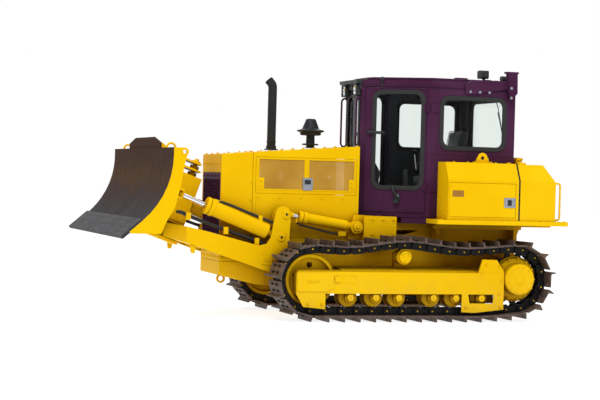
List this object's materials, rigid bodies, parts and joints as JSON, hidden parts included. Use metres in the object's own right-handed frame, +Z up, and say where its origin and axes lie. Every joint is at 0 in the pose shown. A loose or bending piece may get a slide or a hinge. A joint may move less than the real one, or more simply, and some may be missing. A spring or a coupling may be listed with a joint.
{
  "type": "crawler bulldozer",
  "caption": "Crawler bulldozer with a hydraulic angle blade on a C-frame, a six-sided cab, twin tracks and a long hood.",
  "frame": {"origin": "on the ground, at the middle of the whole machine's box in plan, blade raised", "axes": "+X forward towards the blade, +Y to the machine's left, +Z up"},
  "size_m": [5.8842, 3.344, 3.175],
  "materials": {
    "yellow_paint": "semi-gloss enamel",
    "purple_paint": "semi-gloss enamel",
    "black_paint": "matt heat-proof paint",
    "radiator_metal": "finned core, dull",
    "cast_housing": "cast, dull",
    "worn_blade_steel": "worn and rust-stained steel",
    "track_steel": "bare steel, brown film",
    "chrome_rod": "ground and plated",
    "cab_glass": "clear safety glass",
    "seat_vinyl": "black vinyl",
    "black_plastic": "grained"
  },
  "bodies": {
    "chassis": {"main_frame": "yellow_paint", "nose_guard": "yellow_paint", "radiator_mask": "yellow_paint", "radiator_core": "radiator_metal", "grille": "purple_paint", "engine_block": "cast_housing", "transmission_case": "cast_housing", "hood": "yellow_paint", "exhaust_stack": "black_paint", "precleaner": "black_paint", "cab_shell": "purple_paint", "side_glass_left": "cab_glass", "side_glass_right": "cab_glass", "windshield": "cab_glass", "rear_glass": "cab_glass", "lamp_visor": "black_paint", "cab_duct_left": "purple_paint", "cab_duct_right": "purple_paint", "seat_pedestal": "black_plastic", "seat_cushion": "seat_vinyl", "seat_back": "seat_vinyl", "dashboard": "black_plastic", "fender_box_left": "yellow_paint", "fender_box_right": "yellow_paint", "fuel_tank": "yellow_paint", "track_chain_left": "track_steel", "track_chain_right": "track_steel", "track_frame_left": "yellow_paint", "track_frame_right": "yellow_paint", "track_rollers_left": "yellow_paint", "track_rollers_right": "yellow_paint"},
    "c_frame": {"c_frame": "yellow_paint"},
    "blade_carrier": {"blade_carrier": "yellow_paint"},
    "blade": {"mouldboard": "worn_blade_steel", "cutting_edge": "worn_blade_steel", "spill_guard": "worn_blade_steel"},
    "tilt_barrel": {"tilt_barrel": "yellow_paint"},
    "tilt_rod": {"tilt_rod": "chrome_rod"},
    "battery_box_door": {"battery_box_door": "yellow_paint"},
    "control_lever": {"control_lever": "black_plastic"},
    "cab_door_left": {"cab_door_left": "purple_paint", "door_glass_left": "cab_glass"},
    "engine_door_left": {"engine_door_left": "yellow_paint"},
    "lift_barrel_left": {"lift_barrel_left": "yellow_paint"},
    "lift_rod_left": {"lift_rod_left": "chrome_rod"},
    "angle_barrel_left": {"angle_barrel_left": "yellow_paint"},
    "angle_rod_left": {"angle_rod_left": "chrome_rod"},
    "sprocket_left": {"sprocket_left": "yellow_paint"},
    "idler_left": {"idler_left": "yellow_paint"},
    "carrier_roller_left": {"carrier_roller_left": "yellow_paint"},
    "cab_door_right": {"cab_door_right": "purple_paint", "door_glass_right": "cab_glass"},
    "engine_door_right": {"engine_door_right": "yellow_paint"},
    "lift_barrel_right": {"lift_barrel_right": "yellow_paint"},
    "lift_rod_right": {"lift_rod_right": "chrome_rod"},
    "angle_barrel_right": {"angle_barrel_right": "yellow_paint"},
    "angle_rod_right": {"angle_rod_right": "chrome_rod"},
    "sprocket_right": {"sprocket_right": "yellow_paint"},
    "idler_right": {"idler_right": "yellow_paint"},
    "carrier_roller_right": {"carrier_roller_right": "yellow_paint"}
  },
  "joints": [
    {"name": "blade_lift", "type": "hinge", "parent": "chassis", "child": "c_frame", "pos_m": [0.1079, 0, 0.52], "axis": [0, 1, 0], "range_deg": [0, 27]},
    {"name": "blade_angle", "type": "hinge", "parent": "c_frame", "child": "blade_carrier", "pos_m": [1.9829, 0, 1.06], "axis": [-0.342, 0, 0.9397], "range_deg": [-20, 20]},
    {"name": "blade_tilt", "type": "hinge", "parent": "blade_carrier", "child": "blade", "pos_m": [1.9761, 0, 1.0788], "axis": [0.9397, 0, 0.342], "range_deg": [-5, 5]},
    {"name": "tilt_barrel_swing", "type": "hinge", "parent": "blade_carrier", "child": "tilt_barrel", "pos_m": [2.1065, -0.33, 1.9776], "axis": [0.9397, 0, 0.342], "range_deg": [-3, 3]},
    {"name": "tilt_rod_slide", "type": "slide", "parent": "tilt_barrel", "child": "tilt_rod", "axis": [0, 1, 0], "range_m": [-0.075, 0.075]},
    {"name": "lift_barrel_swing_left", "type": "hinge", "parent": "chassis", "child": "lift_barrel_left", "pos_m": [-0.2841, 0.59, 1.147], "axis": [0, 1, 0], "range_deg": [0, 18]},
    {"name": "lift_rod_slide_left", "type": "slide", "parent": "lift_barrel_left", "child": "lift_rod_left", "axis": [0.9881, 0, 0.154], "range_m": [0, 0.305]},
    {"name": "angle_barrel_swing_left", "type": "hinge", "parent": "c_frame", "child": "angle_barrel_left", "pos_m": [0.7129, 0.59, 1.009], "axis": [-0.342, 0, 0.9397], "range_deg": [-3, 3]},
    {"name": "angle_rod_slide_left", "type": "slide", "parent": "angle_barrel_left", "child": "angle_rod_left", "axis": [0.9304, 0, 0.3666], "range_m": [-0.205, 0.205]},
    {"name": "cab_door_hinge_left", "type": "hinge", "parent": "chassis", "child": "cab_door_left", "pos_m": [-1.1549, 0.771, 2.1], "axis": [0, 0, 1], "range_deg": [0, 105]},
    {"name": "engine_door_hinge_left", "type": "hinge", "parent": "chassis", "child": "engine_door_left", "pos_m": [0.3389, 0.457, 2], "axis": [1, 0, 0], "range_deg": [0, 75]},
    {"name": "sprocket_spin_left", "type": "hinge", "parent": "chassis", "child": "sprocket_left", "pos_m": [-2.2921, 0.943, 0.54], "axis": [0, 1, 0], "continuous": true},
    {"name": "idler_spin_left", "type": "hinge", "parent": "chassis", "child": "idler_left", "pos_m": [0.4399, 0.943, 0.505], "axis": [0, 1, 0], "continuous": true},
    {"name": "carrier_roller_spin_left", "type": "hinge", "parent": "chassis", "child": "carrier_roller_left", "pos_m": [-0.7671, 0.943, 0.805], "axis": [0, 1, 0], "continuous": true},
    {"name": "lift_barrel_swing_right", "type": "hinge", "parent": "chassis", "child": "lift_barrel_right", "pos_m": [-0.2841, -0.59, 1.147], "axis": [0, 1, 0], "range_deg": [0, 18]},
    {"name": "lift_rod_slide_right", "type": "slide", "parent": "lift_barrel_right", "child": "lift_rod_right", "axis": [0.9881, 0, 0.154], "range_m": [0, 0.305]},
    {"name": "angle_barrel_swing_right", "type": "hinge", "parent": "c_frame", "child": "angle_barrel_right", "pos_m": [0.7129, -0.59, 1.009], "axis": [-0.342, 0, 0.9397], "range_deg": [-3, 3]},
    {"name": "angle_rod_slide_right", "type": "slide", "parent": "angle_barrel_right", "child": "angle_rod_right", "axis": [0.9304, 0, 0.3666], "range_m": [-0.205, 0.205]},
    {"name": "cab_door_hinge_right", "type": "hinge", "parent": "chassis", "child": "cab_door_right", "pos_m": [-1.1549, -0.771, 2.1], "axis": [0, 0, -1], "range_deg": [0, 105]},
    {"name": "engine_door_hinge_right", "type": "hinge", "parent": "chassis", "child": "engine_door_right", "pos_m": [0.3389, -0.457, 2], "axis": [-1, 0, 0], "range_deg": [0, 75]},
    {"name": "sprocket_spin_right", "type": "hinge", "parent": "chassis", "child": "sprocket_right", "pos_m": [-2.2921, -0.943, 0.54], "axis": [0, 1, 0], "continuous": true},
    {"name": "idler_spin_right", "type": "hinge", "parent": "chassis", "child": "idler_right", "pos_m": [0.4399, -0.943, 0.505], "axis": [0, 1, 0], "continuous": true},
    {"name": "carrier_roller_spin_right", "type": "hinge", "parent": "chassis", "child": "carrier_roller_right", "pos_m": [-0.7671, -0.943, 0.805], "axis": [0, 1, 0], "continuous": true},
    {"name": "battery_box_door_hinge", "type": "hinge", "parent": "chassis", "child": "battery_box_door", "pos_m": [-1.3051, 1.153, 1.53], "axis": [0, 0, -1], "range_deg": [0, 100]},
    {"name": "control_lever_tilt", "type": "hinge", "parent": "chassis", "child": "control_lever", "pos_m": [-1.4721, -0.395, 1.905], "axis": [0, 1, 0], "range_deg": [-15, 15], "stiffness_Nm_per_rad": 3}
  ],
  "couplings": [
    {"joint": "tilt_barrel_swing", "follows": "blade_tilt", "ratio": 0.515},
    {"joint": "tilt_rod_slide", "follows": "blade_tilt", "m_per_rad": -0.8},
    {"joint": "lift_barrel_swing_left", "follows": "blade_lift", "ratio": 0.655},
    {"joint": "lift_rod_slide_left", "follows": "blade_lift", "m_per_rad": 0.635},
    {"joint": "angle_barrel_swing_left", "follows": "blade_angle", "ratio": 0.139},
    {"joint": "angle_rod_slide_left", "follows": "blade_angle", "m_per_rad": -0.578},
    {"joint": "idler_spin_left", "follows": "sprocket_spin_left", "ratio": 1},
    {"joint": "carrier_roller_spin_left", "follows": "sprocket_spin_left", "ratio": 4.37},
    {"joint": "lift_barrel_swing_right", "follows": "blade_lift", "ratio": 0.655},
    {"joint": "lift_rod_slide_right", "follows": "blade_lift", "m_per_rad": 0.635},
    {"joint": "angle_barrel_swing_right", "follows": "blade_angle", "ratio": 0.139},
    {"joint": "angle_rod_slide_right", "follows": "blade_angle", "m_per_rad": 0.578},
    {"joint": "idler_spin_right", "follows": "sprocket_spin_right", "ratio": 1},
    {"joint": "carrier_roller_spin_right", "follows": "sprocket_spin_right", "ratio": 4.37}
  ]
}
